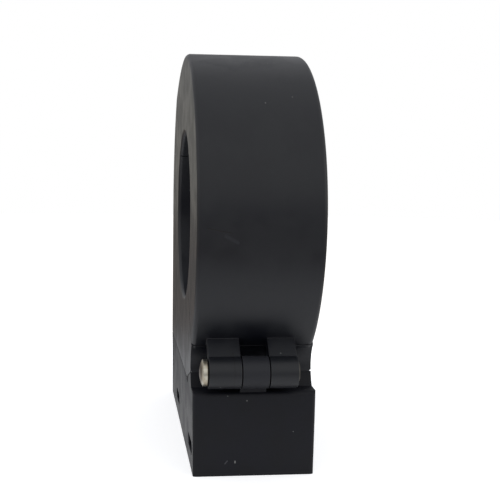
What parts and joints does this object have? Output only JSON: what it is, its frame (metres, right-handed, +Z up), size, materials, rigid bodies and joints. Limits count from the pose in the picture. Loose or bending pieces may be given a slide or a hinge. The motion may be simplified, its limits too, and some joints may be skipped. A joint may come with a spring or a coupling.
{
  "type": "split-core current transformer",
  "caption": "Black moulded ring with a round window on a slotted foot; its upper jaw swings open on a pinned hinge to clip round a conductor.",
  "frame": {"origin": "centre of the round window, halfway through the thickness", "axes": "+Y along the window's axis from the front to the back, +X towards the hinge, +Z up from the foot"},
  "size_m": [0.08, 0.027, 0.093],
  "materials": {
    "housing_plastic": "fine satin moulded texture, black",
    "cover_plastic": "satin black, flat",
    "foot_plastic": "fine satin moulded texture, black",
    "terminal_plastic": "satin black, flame-retardant nylon",
    "former_plastic": "natural nylon",
    "holder_plastic": "dark grey nylon",
    "pin_steel": "bright nickel-plated steel",
    "screw_steel": "zinc-plated steel",
    "core_steel": "cut silicon-steel laminations",
    "winding_copper": "enamelled copper wire",
    "lead_insulation": "yellow insulation",
    "board_laminate": "green solder resist on glass laminate",
    "resistor_coating": "tan coating",
    "diode_epoxy": "black epoxy",
    "clamp_brass": "plain brass",
    "pad_foam": "dark closed-cell foam"
  },
  "bodies": {
    "base": {"lower_housing": "housing_plastic", "lower_back_cover": "cover_plastic", "foot": "foot_plastic", "base_cover": "cover_plastic", "base_cover_screws": "screw_steel", "housing_screws": "screw_steel", "hinge_pin": "pin_steel", "coil_former": "former_plastic", "lower_core": "core_steel", "secondary_winding": "winding_copper", "winding_leads": "lead_insulation", "circuit_board": "board_laminate", "burden_resistor": "resistor_coating", "protection_diode": "diode_epoxy", "terminal_block": "terminal_plastic", "terminal_clamps": "clamp_brass", "terminal_screws": "screw_steel"},
    "jaw": {"jaw_housing": "housing_plastic", "jaw_back_cover": "cover_plastic", "jaw_core_holder": "holder_plastic", "jaw_core": "core_steel", "jaw_core_pad": "pad_foam"}
  },
  "joints": [
    {"name": "jaw_hinge", "type": "hinge", "parent": "base", "child": "jaw", "pos_m": [0.03171, 0, -0.03171], "axis": [0, 1, 0], "range_deg": [0, 105]}
  ]
}
